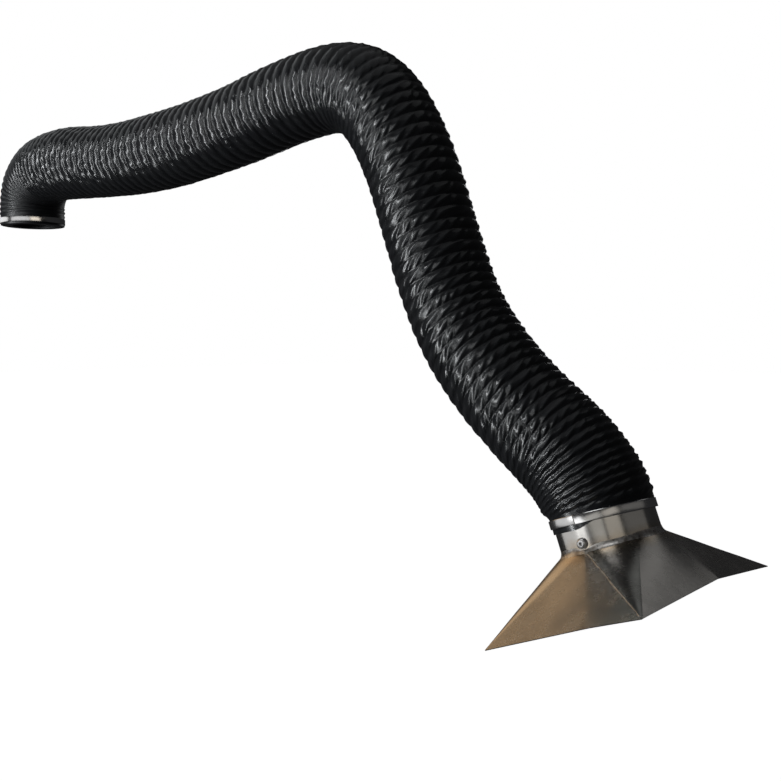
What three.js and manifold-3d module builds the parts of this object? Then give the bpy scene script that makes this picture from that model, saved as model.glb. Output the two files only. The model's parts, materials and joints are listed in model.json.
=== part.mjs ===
// Fume extraction arm: swivel base, two friction-jointed arm sections inside a
// flexible hose, and a sheet-steel hood. Millimetres, +Z up, arm along +X.
// Origin: centre of the underside of the base ring.
import * as THREE from 'three';
import { mergeVertices } from 'three/addons/utils/BufferGeometryUtils.js';
import Module from 'manifold-3d';

const wasm = await Module();
wasm.setup();

// ---------------------------------------------------------------- dimensions
const DUCT_R = 80;            // outside radius of both hose collars (160 mm duct)
const HOSE_R = 86.2;          // outside of the hose, where nothing crowds it
const HOSE_WALL = 2.0;
const CUFF_R = 83.2;          // outside of the hose where it sits on a collar
const CUFF_IN = 81.5;
const HOSE_SIDES = 20;
const RING_SEG = 40;

const SHOULDER = [10, 110];   // x, z of the shoulder bolt
const ELBOW = [1262, 152];    // x, z of the elbow bolt
const HOOD_PIVOT = [1810.2, -614.4]; // x, z of the hood screws
const HOOD_LEAN = 20.77;      // hood collar off the vertical, degrees

const LOWER_SQ = 17.5;        // half side of the lower square tube
const OUTER_SQ = 15;          // half side of the outer square tube
const TUBE_WALL = 2;
const OUTER_OFF = -20;        // outer tube sits this far to the inside of the elbow
const STEM_MID = 95;          // wrist stem reference point above the hood screws

const WELD_T = -11;           // collar to shell weld, below the hood screws
const HOOD_H = 100.7;         // shell height along the collar axis
const HOOD_W = 275.2;         // mouth, in the plane of the arm
const HOOD_L = 410.3;         // mouth, across the arm
const SHEET = 1.6;

const FOLD_Y = 14.3;          // fold of the front and back sides: off centre, out and up at the mouth
const FOLD_OUT = 8.5;
const FOLD_UP = 12.3;

const BAND_W = 14;
const BAND_IN = 83.5;
const BAND_OUT = 84.5;

// hose route: x, z of its centre line
const ROUTE = [
  [0, 0.6], [0, 14], [0, 28], [-0.2, 42], [1.9, 68.3], [12, 92.8], [29, 113], [50.2, 128.3], [74, 139],
  [99.8, 144.5], [134.9, 147.7], [172, 148.1], [246, 144.4], [320.9, 137.3], [396.9, 131.9], [473, 128], [547, 127.1],
  [621, 128.1], [698, 131.1], [770.1, 135.9], [847.1, 142.7], [921.2, 150.6], [996.2, 161.3], [1069.2, 170.5], [1143, 176.3],
  [1219.1, 173.3], [1289.5, 146.8], [1342.9, 92.9], [1381.9, 29], [1410.6, -35.7], [1438.3, -108.9], [1464.6, -177.8],
  [1494.5, -244.7], [1535.5, -309.6], [1583.5, -365.6], [1639.3, -417.6], [1697.2, -463.7], [1750.8, -510.2], [1784, -553.3],
];
// where crowded turns swell the hose: distance along it, outside radius
const SWELL = [
  [0, 86.2], [175, 86.6], [220, 89], [260, 90.3], [300, 91.5], [340, 91.4], [380, 90.4], [420, 89], [460, 88.2], [520, 87.6],
  [660, 88.3], [740, 88.2], [840, 86.6], [900, 86.2], [1900, 86.2], [1960, 87.4], [2100, 88.3], [2180, 89.1], [2260, 89.2], [2300, 86.2], [2500, 86.2],
];

// ------------------------------------------------------------------- helpers
const rad = (d) => (d * Math.PI) / 180;
function frame(x, z, deg) {
  const a = rad(deg);
  const u = new THREE.Vector3(Math.cos(a), 0, Math.sin(a));
  const v = new THREE.Vector3(-Math.sin(a), 0, Math.cos(a));
  return new THREE.Matrix4().makeBasis(u, new THREE.Vector3(0, 1, 0), v).setPosition(x, 0, z);
}
function clean(geometry) {
  const g = geometry.clone();
  for (const name of Object.keys(g.attributes)) if (name !== 'position') g.deleteAttribute(name);
  const m = mergeVertices(g, 1e-4);
  const p = m.attributes.position;
  const keep = [];
  let volume = 0;
  const a = new THREE.Vector3(), b = new THREE.Vector3(), c = new THREE.Vector3();
  for (let i = 0; i < m.index.count; i += 3) {
    const [i0, i1, i2] = [m.index.getX(i), m.index.getX(i + 1), m.index.getX(i + 2)];
    if (i0 === i1 || i1 === i2 || i0 === i2) continue;
    a.fromBufferAttribute(p, i0); b.fromBufferAttribute(p, i1); c.fromBufferAttribute(p, i2);
    volume += a.dot(b.cross(c));
    keep.push([i0, i1, i2]);
  }
  m.setIndex(keep.flatMap(([x, y, z]) => (volume < 0 ? [x, z, y] : [x, y, z])));
  return m;
}
function toManifold(geometry) {
  const g = clean(geometry);
  return new wasm.Manifold(new wasm.Mesh({
    numProp: 3,
    vertProperties: new Float32Array(g.attributes.position.array),
    triVerts: new Uint32Array(g.index.array),
  }));
}
function fromManifold(m) {
  const mesh = m.getMesh();
  const g = new THREE.BufferGeometry();
  g.setAttribute('position', new THREE.BufferAttribute(new Float32Array(mesh.vertProperties), 3));
  g.setIndex(new THREE.BufferAttribute(new Uint32Array(mesh.triVerts), 1));
  return g;
}
const cut = (a, ...bs) => fromManifold(bs.reduce((m, b) => m.subtract(toManifold(b)), toManifold(a)));
const join = (a, ...bs) => fromManifold(bs.reduce((m, b) => m.add(toManifold(b)), toManifold(a)));
const common = (a, b) => fromManifold(toManifold(a).intersect(toManifold(b)));

// box given by its limits
function box(x0, x1, y0, y1, z0, z1) {
  return new THREE.BoxGeometry(x1 - x0, y1 - y0, z1 - z0).translate((x0 + x1) / 2, (y0 + y1) / 2, (z0 + z1) / 2);
}
// turned piece about Z; profile is a closed loop of [r, z]
function turned(profile, seg = RING_SEG) {
  const pts = [...profile, profile[0]].map(([r, z]) => new THREE.Vector2(r, z));
  return new THREE.LatheGeometry(pts, seg).rotateX(Math.PI / 2);
}
// solid turned piece whose profile starts and ends on the axis
function spun(profile, seg = 16) {
  const pts = profile.map(([r, z]) => new THREE.Vector2(r, z));
  return new THREE.LatheGeometry(pts, seg).rotateX(Math.PI / 2);
}
// the same pieces about Y, standing at x, z
const alongY = (g, x, z) => g.rotateX(-Math.PI / 2).translate(x, 0, z);
const rodY = (r, y0, y1, x, z, seg = 16) => alongY(spun([[0, y0], [r, y0], [r, y1], [0, y1]], seg), x, z);
const ringY = (r0, r1, y0, y1, x, z, seg = 20) => alongY(turned([[r0, y0], [r1, y0], [r1, y1], [r0, y1]], seg), x, z);
const nutY = (r0, r1, y0, y1, x, z) => cut(rodY(r1, y0, y1, x, z, 6), rodY(r0, y0 - 1, y1 + 1, x, z, 16));
const rodZ = (r, z0, z1, seg = 16) => spun([[0, z0], [r, z0], [r, z1], [0, z1]], seg);
// flat plate in the XZ plane, from y0 to y1, with round holes [x, z, r]
function plate(outline, holes, y0, y1) {
  const shape = new THREE.Shape(outline.map(([x, z]) => new THREE.Vector2(x, z)));
  for (const [x, z, r] of holes) {
    const h = new THREE.Path();
    h.absarc(x, z, r, 0, Math.PI * 2, true);
    shape.holes.push(h);
  }
  return new THREE.ExtrudeGeometry(shape, { depth: y1 - y0, bevelEnabled: false, curveSegments: 8 })
    .rotateX(Math.PI / 2).translate(0, y1, 0);
}
// closed tube wall through rings of [centre, tangent, r outside, r inside]
function hoseWall(rings, sides = HOSE_SIDES) {
  const pos = [];
  const idx = [];
  const n = rings.length;
  for (const [p, d, ro, ri] of rings) {
    const up = new THREE.Vector3(-d.z, 0, d.x);
    for (const r of [ro, ri]) {
      for (let k = 0; k < sides; k++) {
        const a = (2 * Math.PI * (k + 0.5)) / sides;
        pos.push(p.x + r * Math.sin(a) * up.x, r * Math.cos(a), p.z + r * Math.sin(a) * up.z);
      }
    }
  }
  const at = (i, which, k) => (i * 2 + which) * sides + (k % sides);
  const quad = (a, b, c, d) => idx.push(a, b, c, a, c, d);
  for (let i = 0; i + 1 < n; i++) {
    for (let k = 0; k < sides; k++) {
      quad(at(i, 0, k), at(i, 0, k + 1), at(i + 1, 0, k + 1), at(i + 1, 0, k));
      quad(at(i, 1, k), at(i + 1, 1, k), at(i + 1, 1, k + 1), at(i, 1, k + 1));
    }
  }
  for (let k = 0; k < sides; k++) {
    quad(at(0, 0, k), at(0, 1, k), at(0, 1, k + 1), at(0, 0, k + 1));
    quad(at(n - 1, 0, k), at(n - 1, 0, k + 1), at(n - 1, 1, k + 1), at(n - 1, 1, k));
  }
  const g = new THREE.BufferGeometry();
  g.setAttribute('position', new THREE.Float32BufferAttribute(pos, 3));
  g.setIndex(idx);
  return g;
}
// round wire along points, closed at both ends
function wire(points, r, sides = 5) {
  const pos = [];
  const idx = [];
  const side = new THREE.Vector3();
  const up = new THREE.Vector3();
  let last = new THREE.Vector3(0, 1, 0);
  points.forEach((p, i) => {
    const t = points[Math.min(i + 1, points.length - 1)].clone().sub(points[Math.max(i - 1, 0)]).normalize();
    side.copy(last).addScaledVector(t, -last.dot(t)).normalize();
    last = side.clone();
    up.crossVectors(t, side);
    for (let k = 0; k < sides; k++) {
      const a = (2 * Math.PI * k) / sides;
      pos.push(
        p.x + r * (Math.cos(a) * side.x + Math.sin(a) * up.x),
        p.y + r * (Math.cos(a) * side.y + Math.sin(a) * up.y),
        p.z + r * (Math.cos(a) * side.z + Math.sin(a) * up.z));
    }
  });
  const n = points.length;
  const at = (i, k) => i * sides + (k % sides);
  for (let i = 0; i + 1 < n; i++) {
    for (let k = 0; k < sides; k++) {
      idx.push(at(i, k), at(i, k + 1), at(i + 1, k + 1), at(i, k), at(i + 1, k + 1), at(i + 1, k));
    }
  }
  for (let k = 1; k + 1 < sides; k++) {
    idx.push(at(0, 0), at(0, k + 1), at(0, k), at(n - 1, 0), at(n - 1, k), at(n - 1, k + 1));
  }
  const g = new THREE.BufferGeometry();
  g.setAttribute('position', new THREE.Float32BufferAttribute(pos, 3));
  g.setIndex(idx);
  return g;
}
// extension spring between two points in the XZ plane: straight ends, coils between
function spring(from, to, coilR, wireR, turns, tail) {
  const a = new THREE.Vector3(from[0], 0, from[1]);
  const b = new THREE.Vector3(to[0], 0, to[1]);
  const d = b.clone().sub(a);
  const length = d.length();
  d.normalize();
  const n = new THREE.Vector3(-d.z, 0, d.x);
  const pts = [a.clone(), a.clone().addScaledVector(d, tail * 0.6)];
  const per = 6;
  const steps = turns * per;
  for (let i = 0; i <= steps; i++) {
    const f = i / steps;
    const grow = Math.min(1, i / per, (steps - i) / per);
    const r = coilR * (0.12 + 0.88 * grow);
    const w = (2 * Math.PI * i) / per;
    pts.push(a.clone().addScaledVector(d, tail + (length - 2 * tail) * f)
      .addScaledVector(n, r * Math.cos(w)).add(new THREE.Vector3(0, r * Math.sin(w), 0)));
  }
  pts.push(b.clone().addScaledVector(d, -tail * 0.6), b.clone());
  return wire(pts, wireR);
}

// -------------------------------------------------------------------- frames
const aimLower = Math.atan2(ELBOW[1] - SHOULDER[1], ELBOW[0] - SHOULDER[0]) * (180 / Math.PI);
const lowerLen = Math.hypot(ELBOW[0] - SHOULDER[0], ELBOW[1] - SHOULDER[1]);
const HOOD = frame(...HOOD_PIVOT, HOOD_LEAN);
const stemMid = new THREE.Vector3(0, 0, STEM_MID).applyMatrix4(HOOD);
const aimOuter = Math.atan2(stemMid.z - ELBOW[1], stemMid.x - ELBOW[0]) * (180 / Math.PI);
const outerLen = Math.hypot(stemMid.x - ELBOW[0], stemMid.z - ELBOW[1]);
const LOWER = frame(...SHOULDER, aimLower);
const OUTER = frame(...ELBOW, aimOuter);
const FAR = frame(...ELBOW, aimLower); // lower arm frame moved to the elbow bolt

// ----------------------------------------------------------------- materials
const paint = (color, roughness, metalness = 0) => () => new THREE.MeshStandardMaterial({ color, roughness, metalness });
const blackPaint = paint(0x17181a, 0.5);
const hoseBlack = paint(0x101113, 0.4);
const steel = paint(0xb9bcc0, 0.35, 1);
const zinc = paint(0xa7abb0, 0.45, 1);
const alu = paint(0xc6c8ca, 0.4, 1);
const nylon = paint(0xdedbd0, 0.6);
const friction = paint(0x3b342e, 0.9);
const springSteel = paint(0x5d6166, 0.4, 1);

const part = new THREE.Group();
part.name = 'fume_extraction_arm';
function put(name, geometry, material, matrix) {
  const g = clean(geometry);
  if (matrix) g.applyMatrix4(matrix);
  const flat = g.toNonIndexed();
  flat.computeVertexNormals();
  const mesh = new THREE.Mesh(flat, material());
  mesh.name = name;
  part.add(mesh);
}

// ---------------------------------------------------------------------- base
let ring = turned([[57, 0], [80, 0], [80, 4], [70, 4], [70, 36.2], [68, 36.2], [68, 38.8], [70, 38.8], [70, 41], [65, 41], [65, 5], [57, 5]]);
const boltHoles = [45, 135, 225, 315].map((d) => rodZ(3.3, -1, 6, 12).translate(61.2 * Math.cos(rad(d)), 61.2 * Math.sin(rad(d)), 0));
put('base_ring', cut(ring, ...boltHoles), blackPaint);
put('swivel_bush', turned([[70.5, 4.4], [79.3, 4.4], [79.3, 6.3], [73.4, 6.3], [73.4, 35.6], [70.5, 35.6]]), nylon);
put('retaining_ring', cut(turned([[68.5, 36.7], [76.4, 36.7], [76.4, 38.3], [68.5, 38.3]]), box(-90, -60, -4, 4, 32, 42)), springSteel);

// -------------------------------------------------------------------- turret
put('turret_collar', turned([[74.1, 6.7], [80, 6.7], [80, 52], [77.6, 52], [77.6, 35.9], [74.1, 35.9]]), alu);
put('cross_bar', common(box(-6, 26, -90, 90, 42, 50), rodZ(77, 41, 51, RING_SEG)), zinc);
const plateS = [[-6, 50.4], [26, 50.4], [30, 104], [28, 118], [17, 142], [13, 156], [4, 160], [-5, 156], [-9, 142], [-10, 104]];
for (const [side, y0, y1] of [['left', -26, -22], ['right', 22, 26]]) {
  put(`shoulder_plate_${side}`, plate(plateS, [[...SHOULDER, 6.4], [4, 149, 4.3]], y0, y1), zinc);
}
put('shoulder_bolt', alongY(spun([[0, -34], [10, -34], [10, -26.4], [6, -26.4], [6, 41], [0, 41]], 12), ...SHOULDER), steel);
put('shoulder_nut', nutY(6.4, 10, 26.4, 36, ...SHOULDER), steel);
for (const [side, y0, y1] of [['left', -21.7, -18.7], ['right', 18.7, 21.7]]) {
  put(`shoulder_disc_${side}`, ringY(6.5, 19, y0, y1, ...SHOULDER), friction);
}
put('shoulder_spring_pin', rodY(4, -28, 28, 4, 149, 12), steel);

// ----------------------------------------------------------------- lower arm
put('lower_eye', cut(
  join(rodY(20, -18.4, 18.4, 0, 0, 24), box(0, 62, -15.1, 15.1, -15.1, 15.1)), rodY(6.4, -30, 30, 0, 0, 16)), zinc, LOWER);
put('lower_tube', cut(
  box(23, lowerLen - 60, -LOWER_SQ, LOWER_SQ, -LOWER_SQ, LOWER_SQ),
  box(0, lowerLen, -LOWER_SQ + TUBE_WALL, LOWER_SQ - TUBE_WALL, -LOWER_SQ + TUBE_WALL, LOWER_SQ - TUBE_WALL)), blackPaint, LOWER);
put('lower_spring_stud', rodZ(5, LOWER_SQ + 0.3, 44, 12).translate(252, 0, 0), steel, LOWER);
put('lower_spring', spring([2.5, 39], [245, 36], 8.5, 1.6, 13, 14), springSteel, LOWER);
const plateE = [[-150, -14], [-24, -17], [-8, -18.5], [6, -18.5], [16, -11], [27, 4], [38, 14], [40, 24], [33, 31], [22, 31], [4, 22], [-24, 17], [-150, 14]];
for (const [side, y0, y1] of [['left', -21.8, -17.8], ['right', 17.8, 21.8]]) {
  put(`elbow_plate_${side}`, plate(plateE, [[0, 0, 6.4], [28, 19.6, 4.3]], y0, y1), zinc, FAR);
}
put('elbow_bolt', alongY(spun([[0, -29.8], [10, -29.8], [10, -22.2], [6, -22.2], [6, 36], [0, 36]], 12), 0, 0), steel, FAR);
put('elbow_nut', nutY(6.4, 10, 22.2, 31.8, 0, 0), steel, FAR);
for (const [side, y0, y1] of [['left', -17.5, -14.5], ['right', 14.5, 17.5]]) {
  put(`elbow_disc_${side}`, ringY(6.5, 17, y0, y1, 0, 0), friction, FAR);
}
put('elbow_spring_pin', rodY(4, -23.8, 23.8, 28, 19.6, 12), steel, FAR);

// ----------------------------------------------------------------- outer arm
const tubeEnd = outerLen - 38;
put('outer_eye', cut(
  join(rodY(18, -14.2, 14.2, 0, 0, 24), box(0, 66, -12.7, 12.7, OUTER_OFF - 12.7, OUTER_OFF + 12.7)), rodY(6.4, -30, 30, 0, 0, 16)), zinc, OUTER);
put('outer_tube', cut(
  box(24, tubeEnd, -OUTER_SQ, OUTER_SQ, OUTER_OFF - OUTER_SQ, OUTER_OFF + OUTER_SQ),
  box(0, outerLen, -OUTER_SQ + TUBE_WALL, OUTER_SQ - TUBE_WALL, OUTER_OFF - OUTER_SQ + TUBE_WALL, OUTER_OFF + OUTER_SQ - TUBE_WALL)), blackPaint, OUTER);
put('outer_spring_stud', rodZ(5, OUTER_OFF + OUTER_SQ + 0.3, 36, 12).translate(252, 0, 0), steel, OUTER);
const pinOut = new THREE.Vector3(28, 0, 19.6).applyMatrix4(FAR).applyMatrix4(OUTER.clone().invert());
put('outer_spring', spring([pinOut.x + 6.5, pinOut.z], [245, 28], 7.5, 1.5, 13, 14), springSteel, OUTER);
// wrist socket: bored boss on the hood collar axis with a tongue into the tube
const outerInHood = HOOD.clone().invert().multiply(OUTER);
const tongue = box(tubeEnd - 40, outerLen - 4, -12.7, 12.7, OUTER_OFF - 12.7, OUTER_OFF + 12.7).applyMatrix4(outerInHood);
put('wrist_socket', cut(
  join(rodZ(17, 76.8, 108.8, 24), common(tongue, box(-80, 20, -20, 20, 76.8, 200))),
  rodZ(8.5, 60, 109.1, 16), box(-13.6, 30, -15, 15, 108.8, 140)), zinc, HOOD);

// --------------------------------------------------------------------- wrist
const forkHalf = [[36, 70], [66, 32], [74.5, 12], [74.5, -13], [69.6, -13], [69.6, 10], [61, 29], [33.5, 60]];
const forkShape = [...forkHalf, ...forkHalf.map(([y, z]) => [-y, z]).reverse()];
let fork = plate(forkShape, [], -12, 12).rotateZ(Math.PI / 2);
put('wrist_fork', cut(fork, rodZ(8.5, 50, 80, 16), rodY(5.4, -90, 90, 0, 0, 12)), zinc, HOOD);
put('wrist_stem', spun([[0, 51.5], [12, 51.5], [12, 59.6], [8, 59.6], [8, 124], [0, 124]], 16), steel, HOOD);
put('wrist_nut', cut(rodZ(13, 109.2, 120.5, 6), rodZ(8.5, 100, 130, 16)), steel, HOOD);
put('swivel_washer', turned([[8.5, 70.4], [17, 70.4], [17, 76.4], [8.5, 76.4]], 20), friction, HOOD);
for (const [side, s] of [['left', -1], ['right', 1]]) {
  const flip = (g) => (s > 0 ? g : g.rotateZ(Math.PI));
  put(`hood_screw_${side}`, flip(alongY(spun([[0, 58], [5, 58], [5, 80.4], [9, 80.4], [8.4, 83], [6, 85.2], [0, 85.7]], 16), 0, 0)), steel, HOOD);
  put(`hood_nut_${side}`, flip(nutY(5.4, 9, 60.5, 69.2, 0, 0)), steel, HOOD);
  put(`hood_washer_${side}`, flip(ringY(5.5, 10, 74.9, 77.3, 0, 0, 16)), nylon, HOOD);
}

// ---------------------------------------------------------------------- hood
put('hood_collar', cut(turned([[DUCT_R - SHEET, WELD_T], [DUCT_R, WELD_T], [DUCT_R, 47], [DUCT_R - SHEET, 47]]), rodY(5.5, -95, 95, 0, 0, 12)), steel, HOOD);
// shell: round at the collar, rectangular at the mouth. Each corner is a cone
// from the corner to an arc of the circle, each side a flat triangle; the front
// and back sides are folded along a line from the collar to their lower edge.
function shellSkin(r, inset, zTop, zBot) {
  const a = HOOD_W / 2 - inset, b = HOOD_L / 2 - inset;
  const quarter = 10;
  const pts = [];
  for (let i = 0; i < 4 * quarter; i++) {
    const f = (i / (4 * quarter)) * 2 * Math.PI;
    pts.push([r * Math.cos(f), r * Math.sin(f), zTop]);
  }
  // corners after each quarter start: front/right, back/right, back/left, front/left
  const corner = pts.length;
  pts.push([a, b, zBot], [-a, b, zBot], [-a, -b, zBot], [a, -b, zBot]);
  const fold = pts.length;
  pts.push([a + FOLD_OUT, FOLD_Y, zBot + FOLD_UP], [-a - FOLD_OUT, -FOLD_Y, zBot + FOLD_UP]);
  const tri = [];
  const late = 2; // the folds start this many points past the middle of the side
  for (let q = 0; q < 4; q++) {
    const from = q * quarter + (q % 2 ? 0 : late), to = (q + 1) * quarter + (q % 2 ? late : 0);
    for (let i = from; i < to; i++) tri.push([i % (4 * quarter), corner + q, (i + 1) % (4 * quarter)]);
    const next = (q + 1) % 4;
    const top = to % (4 * quarter);
    if (q === 3) tri.push([top, corner + 3, fold], [top, fold, corner]);
    else if (q === 1) tri.push([top, corner + 1, fold + 1], [top, fold + 1, corner + 2]);
    else tri.push([top, corner + q, corner + next]);
  }
  return { pts, tri, rimTop: [...Array(4 * quarter).keys()], rimBot: [corner + 3, fold, corner, corner + 1, fold + 1, corner + 2] };
}
function shell() {
  const out = shellSkin(DUCT_R, 0, WELD_T - 0.3, WELD_T - HOOD_H);
  const inn = shellSkin(DUCT_R - 2.4, 2.4, WELD_T - 0.3, WELD_T - HOOD_H);
  const n = out.pts.length;
  const idx = [];
  for (const t of out.tri) idx.push(...t);
  for (const [x, y, z] of inn.tri) idx.push(n + x, n + z, n + y);
  const strip = (loop, turn) => loop.forEach((p, i) => {
    const q = loop[(i + 1) % loop.length];
    if (turn) idx.push(p, q, n + q, p, n + q, n + p);
    else idx.push(p, n + q, q, p, n + p, n + q);
  });
  strip(out.rimTop, true);
  strip(out.rimBot, false);
  const g = new THREE.BufferGeometry();
  g.setAttribute('position', new THREE.Float32BufferAttribute([...out.pts, ...inn.pts].flat(), 3));
  g.setIndex(idx);
  return g;
}
put('hood_shell', shell(), steel, HOOD);

// -------------------------------------------------------------------- clamps
function clamp(prefix, zMid, deg, matrix) {
  const z0 = zMid - BAND_W / 2, z1 = zMid + BAND_W / 2;
  put(`${prefix}_clamp_band`, turned([[BAND_IN, z0], [BAND_OUT, z0], [BAND_OUT, z1], [BAND_IN, z1]]), steel, matrix);
  const turn = new THREE.Matrix4().makeRotationZ(rad(deg));
  const place = matrix ? matrix.clone().multiply(turn) : turn;
  const low = BAND_OUT + 0.4;
  put(`${prefix}_clamp_housing`, cut(box(low, low + 11, -9, 9, z0 - 0.8, z1 + 0.8), rodY(4.6, -20, 20, low + 5.6, zMid, 12)), steel, place);
  put(`${prefix}_clamp_screw`, alongY(spun([[0, -17], [4.2, -17], [4.2, 9], [5.6, 9.5], [5.6, 15], [0, 15]], 12), low + 5.6, zMid), zinc, place);
}
clamp('base', 12, 140, null);
clamp('hood', 35.5, 152, HOOD);

// ---------------------------------------------------------------------- hose
const collarEnd = new THREE.Vector3(0, 0, 46).applyMatrix4(HOOD);
const cuffEnd = new THREE.Vector3(0, 0, 26).applyMatrix4(HOOD);
const route = new THREE.CatmullRomCurve3(
  [...ROUTE.map(([x, z]) => new THREE.Vector3(x, 0, z)), collarEnd, cuffEnd], false, 'centripetal');
route.arcLengthDivisions = 2000;
const routeLen = route.getLength();
function along(mm) {
  const f = Math.min(1, Math.max(0, mm / routeLen));
  return [route.getPointAt(f), route.getTangentAt(f).setY(0).normalize()];
}
// distance along the route where a test first turns true
function where(test) {
  for (let s = 0; s <= routeLen; s += 0.5) if (test(along(s)[0])) return s;
  return routeLen;
}
const toHood = HOOD.clone().invert();
const tOf = (p) => p.clone().applyMatrix4(toHood).z;
const sLower = where((p) => p.x >= 300);
const sElbow = where((p) => p.x >= 1000);
const sOuter = where((p) => p.x > 1300 && Math.hypot(p.x - ELBOW[0], p.z - ELBOW[1]) >= 250);
const sSwivel = where((p) => p.x > 1300 && tOf(p) <= 240);
const sCuff = where((p) => p.x > 1300 && tOf(p) <= 132);
function radiusAt(s) {
  const ease = (d) => { const f = Math.min(1, Math.max(0, d)); return f * f * (3 - 2 * f); };
  const f = Math.min(ease((s - 24) / 34), ease((routeLen - 30 - s) / 34));
  let i = 0;
  while (SWELL[i + 1][0] < s) i++;
  const g = (s - SWELL[i][0]) / (SWELL[i + 1][0] - SWELL[i][0]);
  const full = SWELL[i][1] + (SWELL[i + 1][1] - SWELL[i][1]) * g;
  return [CUFF_R + (full - CUFF_R) * f, CUFF_IN + (full - HOSE_WALL - CUFF_IN) * f];
}
function hose(name, s0, s1, step) {
  const n = Math.max(2, Math.round((s1 - s0) / step));
  const rings = [];
  for (let i = 0; i <= n; i++) {
    const s = s0 + ((s1 - s0) * i) / n;
    rings.push([...along(s), ...radiusAt(s)]);
  }
  put(name, hoseWall(rings), hoseBlack);
}
const GAP = 0.2;
hose('hose_shoulder', 0, sLower - GAP, 29);
hose('hose_lower', sLower + GAP, sElbow - GAP, 78);
hose('hose_elbow', sElbow + GAP, sOuter - GAP, 40);
hose('hose_outer', sOuter + GAP, sSwivel - GAP, 48);
hose('hose_swivel', sSwivel + GAP, sCuff - GAP, 30);
hose('hose_cuff', sCuff + GAP, routeLen, 15);

export default part;
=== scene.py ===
import json
import math

import bmesh
import bpy
import numpy as np
from mathutils import Matrix, Quaternion, Vector

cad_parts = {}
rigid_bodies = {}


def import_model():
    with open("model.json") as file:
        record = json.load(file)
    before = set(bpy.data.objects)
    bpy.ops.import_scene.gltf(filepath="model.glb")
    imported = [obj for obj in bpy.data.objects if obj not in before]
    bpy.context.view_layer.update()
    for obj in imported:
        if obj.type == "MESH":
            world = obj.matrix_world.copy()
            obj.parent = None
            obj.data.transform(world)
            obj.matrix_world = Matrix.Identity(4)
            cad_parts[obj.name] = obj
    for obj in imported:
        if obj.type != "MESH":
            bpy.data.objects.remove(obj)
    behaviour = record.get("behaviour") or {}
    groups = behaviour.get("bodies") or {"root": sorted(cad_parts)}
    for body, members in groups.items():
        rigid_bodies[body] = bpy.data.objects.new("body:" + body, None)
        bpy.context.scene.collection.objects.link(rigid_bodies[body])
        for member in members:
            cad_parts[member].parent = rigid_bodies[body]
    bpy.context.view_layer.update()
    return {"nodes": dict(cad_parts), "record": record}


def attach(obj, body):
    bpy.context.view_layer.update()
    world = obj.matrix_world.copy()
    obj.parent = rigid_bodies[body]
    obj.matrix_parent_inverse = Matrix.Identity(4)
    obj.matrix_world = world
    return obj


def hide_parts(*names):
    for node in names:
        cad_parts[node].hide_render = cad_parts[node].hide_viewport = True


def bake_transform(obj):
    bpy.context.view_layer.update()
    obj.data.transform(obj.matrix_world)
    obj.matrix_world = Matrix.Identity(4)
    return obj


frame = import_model()
scene = bpy.context.scene
node = frame["nodes"]

# ------------------------------------------------------------------ dimensions
MM = 0.001
HOSE_R = 86.0
CUFF_R = 83.0
SHOULDER = np.array([10.0, 0.0, 110.0])
ELBOW = np.array([1262.0, 0.0, 152.0])
PIVOT = np.array([1810.2, 0.0, -614.4])
LEAN = math.radians(20.77)
COLLAR_R = 80.0
WELD_T = -11.0
HOOD_H = 100.7
HOOD_W = 275.2
HOOD_L = 410.3
ROUTE = [
    (0, 0.6), (0, 14), (0, 28), (-0.2, 42), (1.9, 68.3), (12, 92.8), (29, 113), (50.2, 128.3), (74, 139), (99.8, 144.5),
    (134.9, 147.7), (172, 148.1), (246, 144.4), (320.9, 137.3), (396.9, 131.9), (473, 128), (547, 127.1), (621, 128.1),
    (698, 131.1), (770.1, 135.9), (847.1, 142.7), (921.2, 150.6), (996.2, 161.3), (1069.2, 170.5), (1143, 176.3),
    (1219.1, 173.3), (1289.5, 146.8), (1342.9, 92.9), (1381.9, 29), (1410.6, -35.7), (1438.3, -108.9), (1464.6, -177.8),
    (1494.5, -244.7), (1535.5, -309.6), (1583.5, -365.6), (1639.3, -417.6), (1697.2, -463.7), (1750.8, -510.2), (1784, -553.3),
]
# outer radius of the hose along its length
RAD_AT = [
    (0, 86), (60, 84.5), (100, 85.2), (140, 86), (180, 87.3), (220, 89), (260, 90.1), (300, 91.3), (340, 91.2), (380, 90.2),
    (420, 88.8), (460, 88), (500, 87.3), (580, 87.4), (660, 88.1), (740, 88), (820, 86.5), (900, 85.4), (980, 84.5),
    (1100, 84.5), (1180, 83.7), (1300, 83.5), (1340, 84.8), (1380, 85.8), (1420, 86), (1460, 86.2), (1540, 85.2),
    (1620, 85.1), (1700, 84.9), (1780, 85.3), (1860, 85.3), (1940, 87), (2020, 87.6), (2100, 88.1), (2180, 89),
    (2220, 88.4), (2260, 89), (2300, 85.5), (2400, 85),
]
# hood band: half width, middle, and how far it sits askew towards an angle round the collar
BAND_H, BAND_T, BAND_SKEW, BAND_DIR = 7.0, 35.5, -3.8, math.radians(28)

# hood frame: c in the plane of the arm, y, and t up along the collar
C_AX = np.array([math.cos(LEAN), 0.0, math.sin(LEAN)])
Y_AX = np.array([0.0, 1.0, 0.0])
T_AX = np.array([-math.sin(LEAN), 0.0, math.cos(LEAN)])


def hood_pt(c, y, t):
    return PIVOT + c * C_AX + y * Y_AX + t * T_AX


HOOD_M = Matrix(
    [
        [C_AX[0], Y_AX[0], T_AX[0], PIVOT[0] * MM],
        [C_AX[1], Y_AX[1], T_AX[1], PIVOT[1] * MM],
        [C_AX[2], Y_AX[2], T_AX[2], PIVOT[2] * MM],
        [0, 0, 0, 1],
    ]
)

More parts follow.
